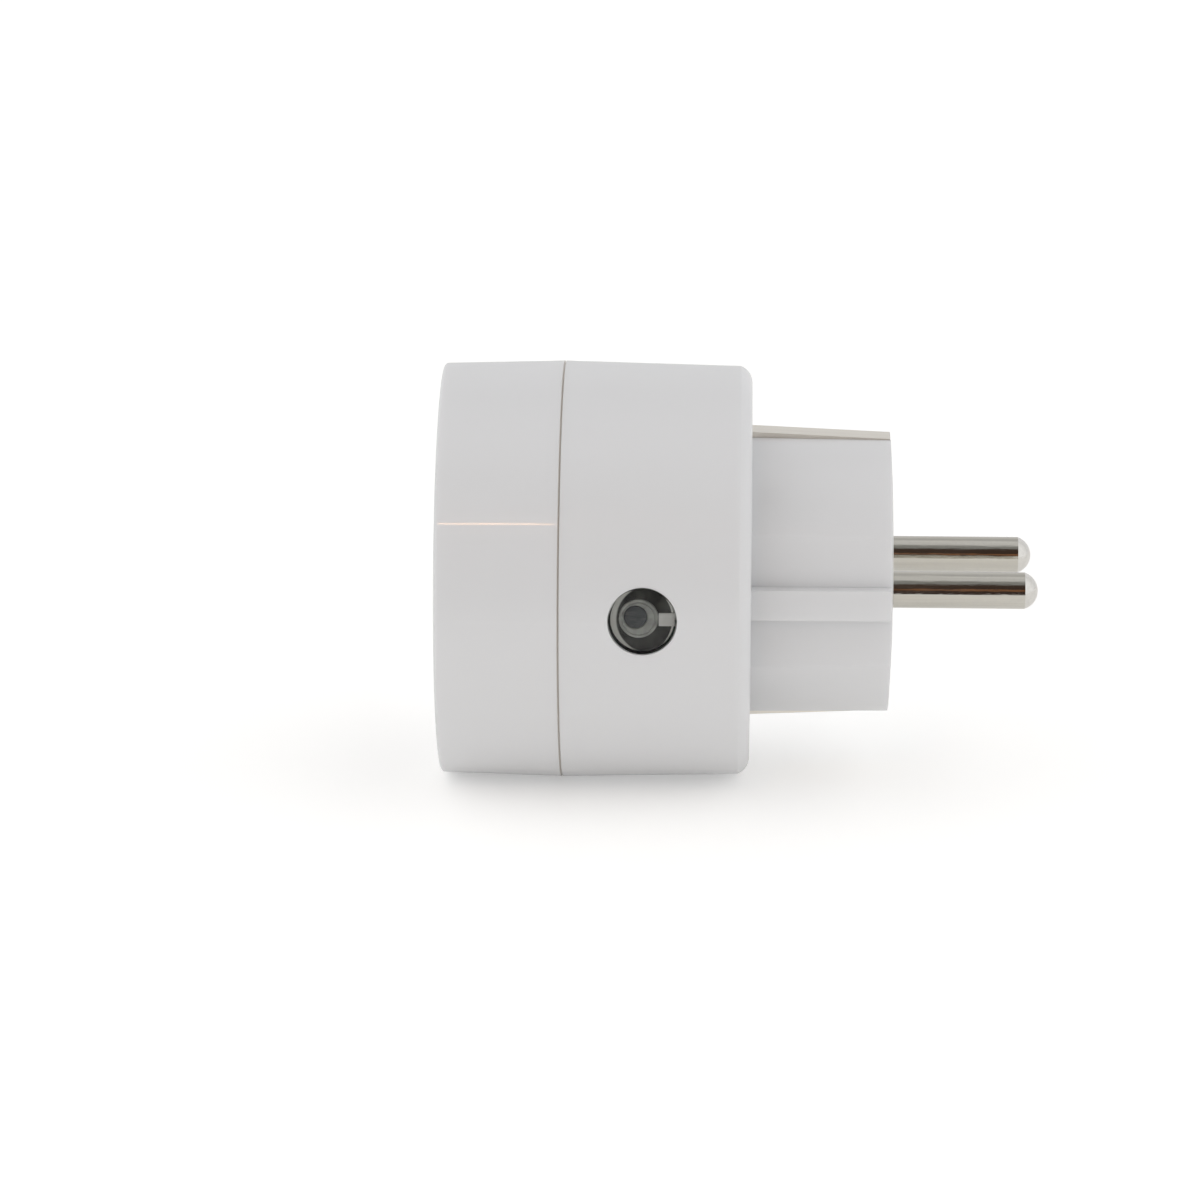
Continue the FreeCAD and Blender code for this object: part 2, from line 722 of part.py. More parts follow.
def contact_carrier():
    """The insulating plate behind the shutter that holds the two socket contacts."""
    body = new_body("contact_carrier")
    extruded(body, "plate", "y", "carrier_y", "carrier_back_y",
             lambda sketch: double_d(sketch, "carrier_radius", "carrier_half_width"))
    extruded(body, "cups", "y", "carrier_back_y", "carrier_back_y + 4",
             circles_at_pins("contact_outer_radius + 1.1"))
    extruded(body, "seats", "y", f"carrier_back_y + 4 + {TINY}", "carrier_back_y - 0.5",
             circles_at_pins("contact_outer_radius + 0.1"), adds=False)
    extruded(body, "pin_ways", "y", f"carrier_y - {TINY}", "carrier_back_y",
             circles_at_pins("socket_hole_radius + 0.15"), adds=False)

    def screw_holes(sketch):
        for s in SIGNS:
            circle(sketch, signed(s, "carrier_boss"), signed(s, "carrier_boss"), "1.1")

    extruded(body, "screw_holes", "y", f"carrier_y - {TINY}", f"carrier_back_y + {TINY}", screw_holes,
             adds=False)


def carrier_screws():
    screws = []
    for s in SIGNS:
        x = signed(s, "carrier_boss")
        screws.append(joined([rod("1.0", (x, "carrier_y", x), "carrier_thickness"),
                              rod("1.9", (x, "carrier_back_y", x), "1.1")]))
    keep(grouped(screws), "carrier_screws")


def shutter():
    """A two-bladed rotor on the floor's post. Pins press its ramps and turn it clear of the holes."""
    body = new_body("shutter")
    extruded(body, "hub", "y", "shutter_y", "shutter_back_y",
             lambda sketch: circle(sketch, "0", "0", "shutter_hub_radius"))
    extruded(body, "arm", "y", "shutter_y", "shutter_back_y",
             lambda sketch: rectangle(sketch, "-pin_offset", "pin_offset",
                                      "-shutter_arm_width / 2", "shutter_arm_width / 2"))
    extruded(body, "blades", "y", "shutter_y", "shutter_back_y", circles_at_pins("shutter_blade_radius"))
    extruded(body, "bore", "y", f"shutter_y - {TINY}", f"shutter_back_y + {TINY}",
             lambda sketch: circle(sketch, "0", "0", "post_radius + post_clearance"), adds=False)
    for side, sign in (("button_side", 1), ("far_side", -1)):
        reach = "shutter_blade_radius + 0.1"

        def ramp(sketch):
            polygon(sketch, [(f"shutter_y - {TINY}", signed(sign, f"-({reach})")),
                             (f"shutter_y - {TINY}", signed(sign, reach)),
                             ("shutter_y + shutter_ramp", signed(sign, reach))])

        extruded(body, f"ramp_{side}", "x", signed(sign, "shutter_hub_radius + 1.4"),
                 signed(sign, "pin_offset + shutter_blade_radius + 1"), ramp, adds=False)


def shutter_spring():
    """The shutter's return spring: a coil of round wire between its hub and the carrier."""
    wire = number("shutter_spring_wire")
    coil = number("shutter_spring_radius")
    pitch = number("shutter_spring_pitch")
    start = number("shutter_back_y") + wire + 0.1
    helix = Part.makeLongHelix(pitch, pitch * 3.5, coil)
    section = Part.Wire(Part.makeCircle(wire, FreeCAD.Vector(coil, 0, 0), FreeCAD.Vector(0, 1, 0)))
    thing = doc.addObject("Part::Feature", "coil")
    thing.Shape = Part.Wire(helix).makePipeShell([section], True, True)
    thing.Placement = FreeCAD.Placement(FreeCAD.Vector(0, start, 0), TURN["y"])
    keep(thing, "shutter_spring")


# ---- button ----

def button():
    """A clear cap, flush with the shell, with a stop flange and an off-centre stem that works the switch."""
    blank = rod("button_radius", ("flange_bottom", "button_y", "0"), "seam_radius - flange_bottom", "x")
    ball = doc.addObject("Part::Sphere", "crown")
    bind(ball, "Radius", "button_reach")
    place(ball, ("0", "button_y", "0"))
    flange = rod("flange_radius", ("flange_bottom", "button_y", "0"), "flange_top - flange_bottom", "x")
    inside = rod("button_radius - button_skirt", ("flange_bottom", "button_y", "0"),
                 "button_reach - button_face - flange_bottom", "x")
    stem_start = ("stem_bottom", "stem_y", "0")
    stem_length = "button_reach - button_face - stem_bottom"
    stem = rod("stem_radius", stem_start, f"{stem_length} + stem_sink", "x")
    bore = rod("stem_bore", stem_start, f"{stem_length} - stem_roof", "x")
    cap = without(joined([common(blank, ball), flange]), inside)
    keep(without(joined([cap, stem]), bore), "button")


def button_guide():
    """The dark tube around the button, with a window for the shell's latch."""
    at = ("guide_bottom", "button_y", "0")
    walls = tube("guide_outer", "guide_inner", at, "guide_top - guide_bottom", "x")
    window = block(("latch_bottom - 0.3", "button_y", "-latch_width / 2 - 0.2"),
                   ("seam_radius", "button_y + latch_root + 1", "latch_width / 2 + 0.2"))
    keep(without(walls, window), "button_guide")


def tact_switch():
    half = "switch_size / 2"
    base = "switch_board_x + switch_board_thickness"
    housing = block((base, f"stem_y - {half}", f"-({half})"),
                    (f"{base} + switch_height", f"stem_y + {half}", half))
    way = rod("plunger_bore", ("plunger_bottom - 0.65", "stem_y", "0"), "switch_height", "x")
    keep(without(housing, way), "tact_switch")


def switch_plunger():
    keep(rod("plunger_radius", ("plunger_bottom", "stem_y", "0"), "plunger_top - plunger_bottom", "x"),
         "switch_plunger")


def switch_board():
    low = ("switch_board_x", "floor_back_y + 1.2", "-switch_board_half_height")
    high = ("switch_board_x + switch_board_thickness", "board_y", "switch_board_half_height")
    keep(block(low, high), "switch_board")


def status_led():
    base = "switch_board_x + switch_board_thickness"
    low = (base, "stem_y + switch_size / 2 + 0.3", "1.2")
    high = (f"{base} + 1.1", "stem_y + switch_size / 2 + 1.9", "3.6")
    keep(block(low, high), "status_led")


# ---- board and what it carries ----

def main_board():
    body = new_body("main_board")
    extruded(body, "disc", "y", "board_y", "board_back_y",
             lambda sketch: circle(sketch, "0", "0", "board_radius"))
    cut = (f"board_y - {TINY}", f"board_back_y + {TINY}")
    extruded(body, "post_notches", "y", *cut, circles_at_screws("rear_post_radius + 0.35"), adds=False)

    def earth_notches(sketch):
        for s in SIGNS:
            rectangle(sketch, "-spring_width / 2 - 0.4", "spring_width / 2 + 0.4",
                      signed(s, "channel_floor - 0.4"), signed(s, "board_radius + 1"))

    extruded(body, "earth_notches", "y", *cut, earth_notches, adds=False)


def relay():
    """A power relay in the neck: moulded base and case, coil, yoke, hinged armature and fixed contact."""
    half, low, high = "relay_half_width", "-relay_low", "-relay_high"
    inset = "relay_wall + 0.05"
    x, z = "-relay_coil_x", "relay_z"

    case = block((f"-{half}", "board_back_y", low), (half, "relay_top_y", high))
    room = block((f"-{half} + relay_wall", "board_back_y", f"{low} + relay_wall"),
                 (f"{half} - relay_wall", "relay_top_y - relay_wall", f"{high} - relay_wall"))
    keep(without(case, room), "relay_case")
    keep(block((f"-{half} + {inset}", "board_back_y", f"{low} + {inset}"),
               (f"{half} - ({inset})", "board_back_y + relay_base_thickness", f"{high} - ({inset})")),
         "relay_base")

    keep(joined([rod("bobbin_radius", (x, "coil_y", z), "bobbin_flange"),
                 rod("bobbin_radius", (x, "coil_y + bobbin_length - bobbin_flange", z), "bobbin_flange"),
                 rod("winding_radius", (x, "coil_y", z), "bobbin_length"),
                 rod("core_radius", (x, "coil_y", z), "core_top_y - coil_y")]), "relay_coil")

    yoke_low, yoke_high = f"{z} - yoke_half_width", f"{z} + yoke_half_width"
    foot = block((f"{x} - 2.4", "yoke_y", yoke_low), ("yoke_x", "yoke_y + yoke_thickness", yoke_high))
    side = block(("yoke_x - yoke_thickness", "yoke_y", yoke_low), ("yoke_x", "core_top_y", yoke_high))
    keep(joined([foot, side]), "relay_yoke")

    lever = block((f"{x} - 3", "lever_y", f"{z} - 3"), ("arm_x", "lever_y + lever_thickness", f"{z} + 3"))
    arm = block(("arm_x - arm_thickness", "contact_y - 1", f"{z} - 2"), ("arm_x", "lever_y", f"{z} + 2"))
    rivet = rod("rivet_radius", ("arm_x", "contact_y", z), "rivet_height", "x")
    keep(joined([lever, arm, rivet]), "relay_armature")

    facing = rod("rivet_radius", ("arm_x + rivet_height + contact_gap", "contact_y", z), "rivet_height", "x")
    post_x = "arm_x + 2 * rivet_height + contact_gap"
    post = block((post_x, "board_back_y + relay_base_thickness + 0.05", f"{z} - 2"),
                 (f"{post_x} + 0.65", "contact_y + 1.8", f"{z} + 2"))
    keep(joined([facing, post]), "relay_contact")


def leads(points, start_y, length):
    """Thin round leads along Y from start_y at each (x, z)."""
    return [rod("lead_radius", (x, start_y, z), length) for x, z in points]


def electrolytic_capacitor():
    x, z = "-8.4", "8.4"
    can = rod("electrolytic_radius", (x, "board_back_y + 0.3", z), "electrolytic_length")
    pins = leads([(f"{x} - 1.2", z), (f"{x} + 1.2", z)], "board_back_y", "0.5")
    keep(joined([can] + pins), "electrolytic_capacitor")


def varistor():
    x, y, z = "6.6", "board_back_y + varistor_radius + 1.6", "8.4"
    disc = rod("varistor_radius", (x, y, z), "varistor_thickness", "x")
    middle = f"{x} + varistor_thickness / 2"
    pins = leads([(middle, f"{z} - 2.5"), (middle, f"{z} + 2.5")], "board_back_y", "3")
    keep(joined([disc] + pins), "varistor")


def x2_capacitor():
    case = block(("-8", "board_y - 10.6", "8.8"), ("8", "board_y - 0.3", "15"))
    pins = leads([("-6.5", "11.9"), ("6.5", "11.9")], "board_y - 1", "1")
    keep(joined([case] + pins), "x2_capacitor")


def choke():
    """A drum core inductor: two flanges and a winding."""
    x, z = "-7", "-9.2"
    top = "board_y - 0.3 - choke_length"
    flanges = [rod("choke_radius", (x, top, z), "1.2"),
               rod("choke_radius", (x, f"{top} + choke_length - 1.2", z), "1.2")]
    winding = rod("choke_radius - 0.5", (x, top, z), "choke_length")
    pins = leads([(f"{x} - 2", z), (f"{x} + 2", z)], "board_y - 0.5", "0.5")
    keep(joined(flanges + [winding] + pins), "choke")


def fuse_resistor():
    z = "-13.4"
    bodywork = rod("1.6", ("-1", "board_y - 2.2", z), "8.5", "x")
    wire = rod("0.3", ("-2.5", "board_y - 2.2", z), "11.5", "x")
    legs = leads([("-2.1", z), ("8.6", z)], "board_y - 2.6", "2.6")
    keep(joined([bodywork, wire] + legs), "fuse_resistor")


def current_shunt():
    """A U-shaped resistance strip that carries the load current past the metering chip."""
    body = new_body("current_shunt")
    left, right, thick = "11", "18", "0.8"

    def bridge(sketch):
        polygon(sketch, [(left, "board_y"), (left, "board_y - 5"), (right, "board_y - 5"), (right, "board_y"),
                         (f"{right} - {thick}", "board_y"), (f"{right} - {thick}", f"board_y - 5 + {thick}"),
                         (f"{left} + {thick}", f"board_y - 5 + {thick}"), (f"{left} + {thick}", "board_y")])

    extruded(body, "bridge", "z", "-10.2", "-7.6", bridge)


def chip(name, low, high, thickness, feet):
    """A small moulded package on the board, with rows of feet along its two long sides."""
    (x0, z0), (x1, z1) = low, high
    package = block((x0, f"board_y - {thickness}", z0), (x1, "board_y - 0.15", z1))
    metal = []
    for i in range(feet):
        x = f"{x0} + ({x1} - ({x0})) * {i + 0.5} / {feet}"
        metal.append(block((f"{x} - foot_width / 2", "board_y - 0.6", f"{z0} - foot_reach"),
                           (f"{x} + foot_width / 2", "board_y", f"{z1} + foot_reach")))
    keep(joined([package] + metal), name)


def radio_module():
    board = block(("-21.2", "board_y - 15.5", "-8"), ("-20.2", "board_y", "8"))
    keep(board, "radio_module")
    shield = block(("-20.2", "board_y - 13.5", "-6"), ("-17.9", "board_y - 3", "6"))
    keep(shield, "radio_shield")


def build():
    rear_shell()
    front_cover()
    housing_screws()
    plug_pin("plug_pin_line", 1)
    plug_pin("plug_pin_neutral", -1)
    plug_terminal("plug_terminal_line", 1)
    plug_terminal("plug_terminal_neutral", -1)
    earth_strip("earth_strip_top", 1)
    earth_strip("earth_strip_bottom", -1)
    earth_spring("earth_spring_top", 1)
    earth_spring("earth_spring_bottom", -1)
    earth_bridge()
    earth_pin_contact()
    socket_contact("socket_contact_line", 1)
    socket_contact("socket_contact_neutral", -1)
    contact_carrier()
    carrier_screws()
    shutter()
    shutter_spring()
    button()
    button_guide()
    tact_switch()
    switch_plunger()
    switch_board()
    status_led()
    main_board()
    relay()
    electrolytic_capacitor()
    varistor()
    x2_capacitor()
    choke()
    fuse_resistor()
    current_shunt()
    chip("metering_chip", ("-1.5", "-10.6"), ("8.3", "-6.7"), 1.7, 8)
    chip("bridge_rectifier", ("-3", "-4.4"), ("1.7", "-0.6"), 1.6, 2)
    radio_module()


def check():
    """Stop if any object failed or any sub-part has no sound solid."""
    doc.recompute()
    failed = [o.Label for o in doc.Objects if {"Invalid", "Error"} & set(o.State)]
    for thing in SUBPARTS:
        shape = thing.Shape
        if shape.isNull() or not shape.isValid() or not shape.Solids or shape.Volume <= 0:
            failed.append(thing.Label)
    if failed:
        raise RuntimeError("failed: " + ", ".join(failed))


def export():
    os.makedirs(OUT, exist_ok=True)
    for thing in SUBPARTS:
        thing.Shape.exportStep(os.path.join(OUT, thing.Label + ".step"))
        print(f"{thing.Label}: {len(thing.Shape.Solids)} solid(s), {thing.Shape.Volume:.1f} mm3")


build()
doc.removeObject("Scratch")
check()
export()
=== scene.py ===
"""A plug-in power meter lying on its side on a white table, in soft studio light.

Units are metres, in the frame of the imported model: +Y along the plug's pins, +X to the push button, +Z up.
"""

import json
import math

import bmesh
import bpy
from mathutils import Matrix, Vector


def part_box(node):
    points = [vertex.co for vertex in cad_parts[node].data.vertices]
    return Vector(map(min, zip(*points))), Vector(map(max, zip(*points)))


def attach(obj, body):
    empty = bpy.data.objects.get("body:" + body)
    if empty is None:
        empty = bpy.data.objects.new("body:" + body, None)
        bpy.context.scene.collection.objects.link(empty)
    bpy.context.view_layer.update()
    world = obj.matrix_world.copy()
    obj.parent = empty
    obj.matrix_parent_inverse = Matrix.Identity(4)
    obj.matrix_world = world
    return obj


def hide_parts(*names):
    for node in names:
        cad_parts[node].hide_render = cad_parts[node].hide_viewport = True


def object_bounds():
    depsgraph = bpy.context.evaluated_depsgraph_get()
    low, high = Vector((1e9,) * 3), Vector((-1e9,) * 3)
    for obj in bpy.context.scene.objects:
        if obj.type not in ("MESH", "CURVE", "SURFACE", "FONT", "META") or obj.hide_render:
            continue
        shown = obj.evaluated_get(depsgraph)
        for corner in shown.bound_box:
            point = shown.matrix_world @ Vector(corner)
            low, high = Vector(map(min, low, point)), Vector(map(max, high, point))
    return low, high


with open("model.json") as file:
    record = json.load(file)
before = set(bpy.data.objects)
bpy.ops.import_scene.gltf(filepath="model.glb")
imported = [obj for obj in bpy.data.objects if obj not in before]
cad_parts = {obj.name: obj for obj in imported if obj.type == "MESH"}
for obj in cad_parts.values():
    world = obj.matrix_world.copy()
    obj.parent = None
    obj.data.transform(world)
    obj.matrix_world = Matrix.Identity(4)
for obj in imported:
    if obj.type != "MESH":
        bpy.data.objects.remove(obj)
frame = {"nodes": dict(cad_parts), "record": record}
CAD_LOW, CAD_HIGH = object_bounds()
NODES = frame["nodes"]
MM = 0.001
BUTTON_LOW, BUTTON_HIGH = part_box("button")

# camera: angles in degrees, with azimuth 0 looking along +Y and 90 along -X
CAMERA_AZIMUTH = 91.44
CAMERA_ELEVATION = 14.79
CAMERA_ROLL = 0.18
CAMERA_DISTANCE = 0.716
CAMERA_LENS = 161.7  # in millimetres, for a sensor this wide
CAMERA_SENSOR = 36.0
CAMERA_AIM = Vector((0, -38.47, -4.31)) * MM
CAMERA_REACH = 20

WHITE = (1.0, 1.0, 1.0, 1.0)
TABLE_SIZE = 12
TABLE_FRONT = 0.21  # the white sheet ends this far from the plug's line, on the camera's side
TABLE_GLOW = 0.11  # the sheet glows a little, so that shadows on it stay light
TABLE_SEEN = 0.30  # the same glow as the camera sees it, as in a studio picture with its white lifted

# the room that lights the model
ROOM_LIGHT = 0.69
NEAR_WALLS = (1.45, 1.45, 1.45, 1.0)  # the lit walls at the two ends of the plug's line
FAR_WALLS = (1.2, 1.2, 1.21, 1.0)  # and their stretch on the far side from the camera
FAR_START = 0.1  # the walls turn from near to far between these two, as X of a direction of length 1
FAR_END = -0.4
AISLE = 0.16  # half the width of the stretch between the two end walls, as Y of such a direction
AISLE_EDGE = 0.06  # and the width over which it turns into wall
AISLE_LIGHT = (  # its colour by the angle up from the camera's side, in degrees, over the top to the far side
    (0, (0.075, 0.05, 0.04)),
    (8, (0.075, 0.05, 0.04)),
    (12, (0.34, 0.16, 0.08)),
    (17, (0.34, 0.16, 0.08)),
    (20, (0.085, 0.055, 0.042)),
    (44, (0.085, 0.055, 0.042)),
    (50, (0.20, 0.19, 0.18)),
    (55, (0.42, 0.42, 0.41)),
    (67, (0.42, 0.42, 0.41)),
    (78, (0.98, 0.98, 0.98)),
    (107, (1.05, 1.05, 1.05)),
    (118, (0.80, 0.80, 0.80)),
    (128, (0.80, 0.80, 0.80)),
    (142, (1.0, 1.0, 1.0)),
)

# the narrow warm lamp
STRIP_PLACE = Vector((551, -118, 431)) * MM
STRIP_AIM = Vector((0, -51, 10)) * MM
STRIP_LENGTH = 35 * MM
STRIP_WIDTH = 2 * MM
STRIP_WATTS = 0.085
STRIP_COLOUR = (1.0, 0.55, 0.28)

# places on the CAD nodes that their materials follow
TIP_LENGTH = 1.75 * MM
TIP_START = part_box("plug_pin_line")[1].y - TIP_LENGTH
SEAM_GAP = 0.2 * MM
SEAM_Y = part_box("rear_shell")[0].y - SEAM_GAP / 2
SEAM_PAINTED_LIGHT_REACH = 0.65 * SEAM_GAP  # half the width of the seam's painted light, a warm tint that lifts the shade in the gap and goes just onto its two edges

# the push button's own sizes; those that end in PLACE are measured from its middle
BUTTON_RADIUS = 4.35 * MM
BUTTON_FACE = 1.4 * MM
BUTTON_SKIRT = 0.22 * MM
FLANGE_TOP = 24.35 * MM  # out from the plug's line
FLANGE_BOTTOM = 23.3 * MM
BUTTON_EDGE = 0.12 * MM  # the radius of its rounded edges
CROWN_STEPS = 8
STEM_PLACE = Vector((0, -0.47, 0.12)) * MM
STEM_RADIUS = 2.5 * MM
GROOVE_RADIUS = 2.1 * MM
BORE_PLACE = Vector((0, -0.87, 0.32)) * MM
BORE_RADIUS = 1.5 * MM
CORE_DEPTH = 1.2 * MM
CORE_GAP = 0.02 * MM
PIECE_GAP = 0.03 * MM
SEAT_DEPTH = 0.3 * MM
LEFT_PAINTED_LIGHT_PLACE = Vector((0, 1.2, 0)) * MM  # painted light: the seat is painted pale beyond a circle about this point
LEFT_PAINTED_LIGHT_RADII = (4.25 * MM, 4.75 * MM)  # and it turns pale between these radii
# painted light likewise, a pale crescent at the seat's other end
RIGHT_PAINTED_LIGHT_PLACE = Vector((0, -1.0, 0)) * MM
RIGHT_PAINTED_LIGHT_RADII = (4.65 * MM, 4.95 * MM)
KEY_SIZE = Vector((0.26, 2.05, 1.7)) * MM
KEY_ALONG = 3.1 * MM  # from the middle of the button, along the plug's line
KEY_RISE = 0.03 * MM
KEY_EDGE = 0.06 * MM

SEGMENTS = 128  # round a turned piece
ARC_STEPS = 6
SHARP_ANGLE = 28  # in degrees: edges that turn by more than this stay sharp in the shading
BEVEL_SAMPLES = 6
TINY = 1e-9


# ---- node materials ----

def colours(sockets):
    """The colour sockets among a Mix node's inputs or outputs, which has some of every type."""
    return [socket for socket in sockets if socket.type == "RGBA"]


class Shader:
    """A Principled material whose colour, roughness and bump come from procedural textures."""

    def __init__(self, name, base, roughness, metallic=0.0):
        self.material = bpy.data.materials.new(name)
        self.material.use_nodes = True
        self.tree = self.material.node_tree
        self.bsdf = self.tree.nodes["Principled BSDF"]
        self.base = (*base, 1.0)
        self.roughness = roughness
        self.set("Base Color", self.base)
        self.set("Roughness", roughness)
        self.set("Metallic", metallic)
        self.place = self.node("ShaderNodeTexCoord").outputs["Object"]
        self.normal = None

    def node(self, kind, **settings):
        """A new node. A setting goes to its property, or to its input where it has no such property."""
        made = self.tree.nodes.new(kind)
        for key, value in settings.items():
            if hasattr(made, key):
                setattr(made, key, value)
            else:
                made.inputs[key.title()].default_value = value
        return made

    def link(self, start, end):
        self.tree.links.new(start, end)

    def set(self, socket, value):
        self.bsdf.inputs[socket].default_value = value
        return self

    def stretched(self, scale):
        """Object coordinates scaled along each axis."""
        mapping = self.node("ShaderNodeMapping")
        mapping.inputs["Scale"].default_value = scale
        self.link(self.place, mapping.inputs["Vector"])
        return mapping.outputs["Vector"]

    def noise(self, size, detail=3.0, stretch=None):
        """Noise whose features are about size metres across."""
        texture = self.node("ShaderNodeTexNoise", scale=1.0 / size, detail=detail)
        self.link(self.stretched(stretch) if stretch else self.place, texture.inputs["Vector"])
        return texture.outputs["Fac"]

    def ranged(self, value, low, high, start=0.3, end=0.7):
        """The value's start..end stretch mapped to low..high."""
        spread = self.node("ShaderNodeMapRange")
        for socket, number in (("From Min", start), ("From Max", end), ("To Min", low), ("To Max", high)):
            spread.inputs[socket].default_value = number
        self.link(value, spread.inputs["Value"])
        return spread.outputs["Result"]

    def tint(self, value, colour, amount=1.0):
        """Mix the base colour towards another where value is high."""
        mix = self.node("ShaderNodeMix", data_type="RGBA")
        source = self.bsdf.inputs["Base Color"]
        self.link(self.ranged(value, 0.0, amount), mix.inputs[0])
        first, second = colours(mix.inputs)
        if source.is_linked:
            self.link(source.links[0].from_socket, first)
        else:
            first.default_value = self.base
        second.default_value = (*colour, 1.0)
        self.link(colours(mix.outputs)[0], source)

    def rough(self, value, spread):
        """Vary the roughness about its middle value."""
        varied = self.ranged(value, self.roughness - spread, self.roughness + spread)
        self.link(varied, self.bsdf.inputs["Roughness"])

    def coordinate(self, axis):
        """The surface's own X, Y or Z."""
        place = self.node("ShaderNodeSeparateXYZ")
        self.link(self.place, place.inputs[0])
        return place.outputs[axis]

    def distance(self, point):
        """How far the surface is from a point."""
        away = self.node("ShaderNodeVectorMath", operation="DISTANCE")
        self.link(self.place, away.inputs[0])
        away.inputs[1].default_value = point
        return away.outputs["Value"]

    def beyond(self, y):
        """0 below the given y and 1 above it."""
        step = self.node("ShaderNodeMath", operation="GREATER_THAN")
        self.link(self.coordinate("Y"), step.inputs[0])
        step.inputs[1].default_value = y
        return step.outputs[0]

    def near(self, y, reach):
        """1 within reach of the given y."""
        compare = self.node("ShaderNodeMath", operation="COMPARE")
        self.link(self.coordinate("Y"), compare.inputs[0])
        compare.inputs[1].default_value = y
        compare.inputs[2].default_value = reach
        return compare.outputs[0]

    def rough_where(self, value, roughness):
        """Another roughness where value is 1."""
        mix = self.node("ShaderNodeMix", data_type="FLOAT")
        source = self.bsdf.inputs["Roughness"]
        self.link(value, mix.inputs[0])
        self.link(source.links[0].from_socket, mix.inputs[2])
        mix.inputs[3].default_value = roughness
        self.link(mix.outputs[0], source)

    def rounded(self, radius):
        """Round sharp edges in the shading."""
        bevel = self.node("ShaderNodeBevel", samples=BEVEL_SAMPLES)
        bevel.inputs["Radius"].default_value = radius
        self.normal = bevel.outputs["Normal"]
        self.link(self.normal, self.bsdf.inputs["Normal"])

    def bump(self, value, height, strength):
        """Raise the surface by up to height metres where value is high, on top of what is there."""
        bump = self.node("ShaderNodeBump")
        bump.inputs["Strength"].default_value = strength
        bump.inputs["Distance"].default_value = height
        self.link(value, bump.inputs["Height"])
        if self.normal:
            self.link(self.normal, bump.inputs["Normal"])
        self.normal = bump.outputs["Normal"]
        self.link(self.normal, self.bsdf.inputs["Normal"])


def paint(piece, shader):
    """Give a piece one material in place of what it has."""
    piece.data.materials.clear()
    piece.data.materials.append(shader.material)


def shell_plastic():
    """Fine satin white moulding with a faint flow along the mould."""
    made = Shader("shell_plastic", (0.762, 0.766, 0.776), 0.34)
    made.rounded(0.22 * MM)
    made.tint(made.noise(14 * MM, 2.0, (1, 0.25, 1)), (0.738, 0.741, 0.747), 0.5)
    # painted light: a warm tint in the seam gap that lifts its shade
    made.tint(made.near(SEAM_Y, SEAM_PAINTED_LIGHT_REACH), (0.80, 0.765, 0.72))
    made.rough(made.noise(3 * MM), 0.04)
    made.bump(made.noise(0.16 * MM, 4.0), 0.004 * MM, 0.5)
    made.set("Coat Weight", 0.15).set("Coat Roughness", 0.05)
    made.set("Subsurface Weight", 0.4).set("Subsurface Scale", 1.5 * MM)
    made.set("Subsurface Radius", (1.0, 1.0, 1.0))
    return made


def pin_nickel():
    """Bright nickel over drawn brass, with faint lines along the pin and a finely turned tip."""
    made = Shader("pin_nickel", (0.68, 0.665, 0.61), 0.09, 1.0)
    tip = made.beyond(TIP_START)
    made.tint(made.noise(1.2 * MM, 3.0, (1, 0.08, 1)), (0.60, 0.567, 0.49), 0.6)
    made.tint(made.noise(0.35 * MM, 2.0, (1, 0.03, 1)), (0.54, 0.522, 0.468), 0.5)
    made.tint(tip, (0.75, 0.735, 0.70))
    made.tint(made.noise(0.5 * MM, 2.0), (0.585, 0.563, 0.526), 0.35)
    made.rough(made.noise(0.5 * MM, 3.0, (1, 0.05, 1)), 0.05)
    made.rough_where(tip, 0.16)
    made.bump(made.noise(0.12 * MM, 2.0, (1, 0.03, 1)), 0.002 * MM, 0.6)
    made.bump(made.noise(0.45 * MM, 2.0, (1, 0.15, 1)), 0.03 * MM, 0.7)
    return made


def scaled(colour, factor):
    """A colour made lighter or darker."""
    return tuple(channel * factor for channel in colour)


def metal(name, base, roughness, grain):
    """Plain metal with darker patches and a fine bump, both from its grain."""
    made = Shader(name, base, roughness, 1.0)
    made.rounded(0.08 * MM)
    made.tint(made.noise(grain * 6), scaled(base, 0.75), 0.5)
    made.rough(made.noise(grain, 4.0), 0.06)
    made.bump(made.noise(grain), 0.003 * MM, 0.6)
    return made


def earth_plate():
    """Satin plate with long faint rolling marks, too shallow to break up its edges."""
    made = Shader("earth_plate", (0.88, 0.84, 0.77), 0.32, 1.0)
    made.rounded(0.1 * MM)
    made.tint(made.noise(1.5 * MM, 2.0, (1, 0.2, 1)), (0.82, 0.775, 0.70), 0.6)
    made.rough(made.noise(0.8 * MM, 3.0, (1, 0.1, 1)), 0.04)
    made.bump(made.noise(0.5 * MM, 2.0, (1, 0.05, 1)), 0.0006 * MM, 0.5)
    return made


def moulded(name, base, roughness, coat=0.0):
    """Plain moulded plastic, glossy where it has a coat."""
    made = Shader(name, base, roughness)
    made.rounded(0.1 * MM)
    made.tint(made.noise(6 * MM, 2.0), scaled(base, 0.85), 0.5)
    made.rough(made.noise(1.5 * MM), 0.05)
    made.bump(made.noise(0.3 * MM, 4.0), 0.006 * MM, 0.5)
    if coat:
        made.set("Coat Weight", coat).set("Coat Roughness", 0.08)
    return made


def button_clear():
    """Clear, slightly smoky polycarbonate."""
    made = Shader("button_clear", (0.90, 0.91, 0.90), 0.03)
    made.tint(made.noise(2 * MM, 2.0), (0.82, 0.83, 0.81), 0.6)
    made.rough(made.noise(1.5 * MM), 0.02)
    made.set("Transmission Weight", 1.0).set("IOR", 1.25)
    return made


def milky_guide():
    """The light guide's matt, slightly cloudy moulding."""
    made = Shader("milky_guide", (0.42, 0.427, 0.41), 0.45)
    made.tint(made.noise(0.9 * MM, 3.0), (0.23, 0.23, 0.22), 0.8)
    made.set("Specular IOR Level", 0.2)
    made.rough(made.noise(0.5 * MM), 0.06)
    made.bump(made.noise(0.12 * MM, 3.0), 0.006 * MM, 0.5)
    return made


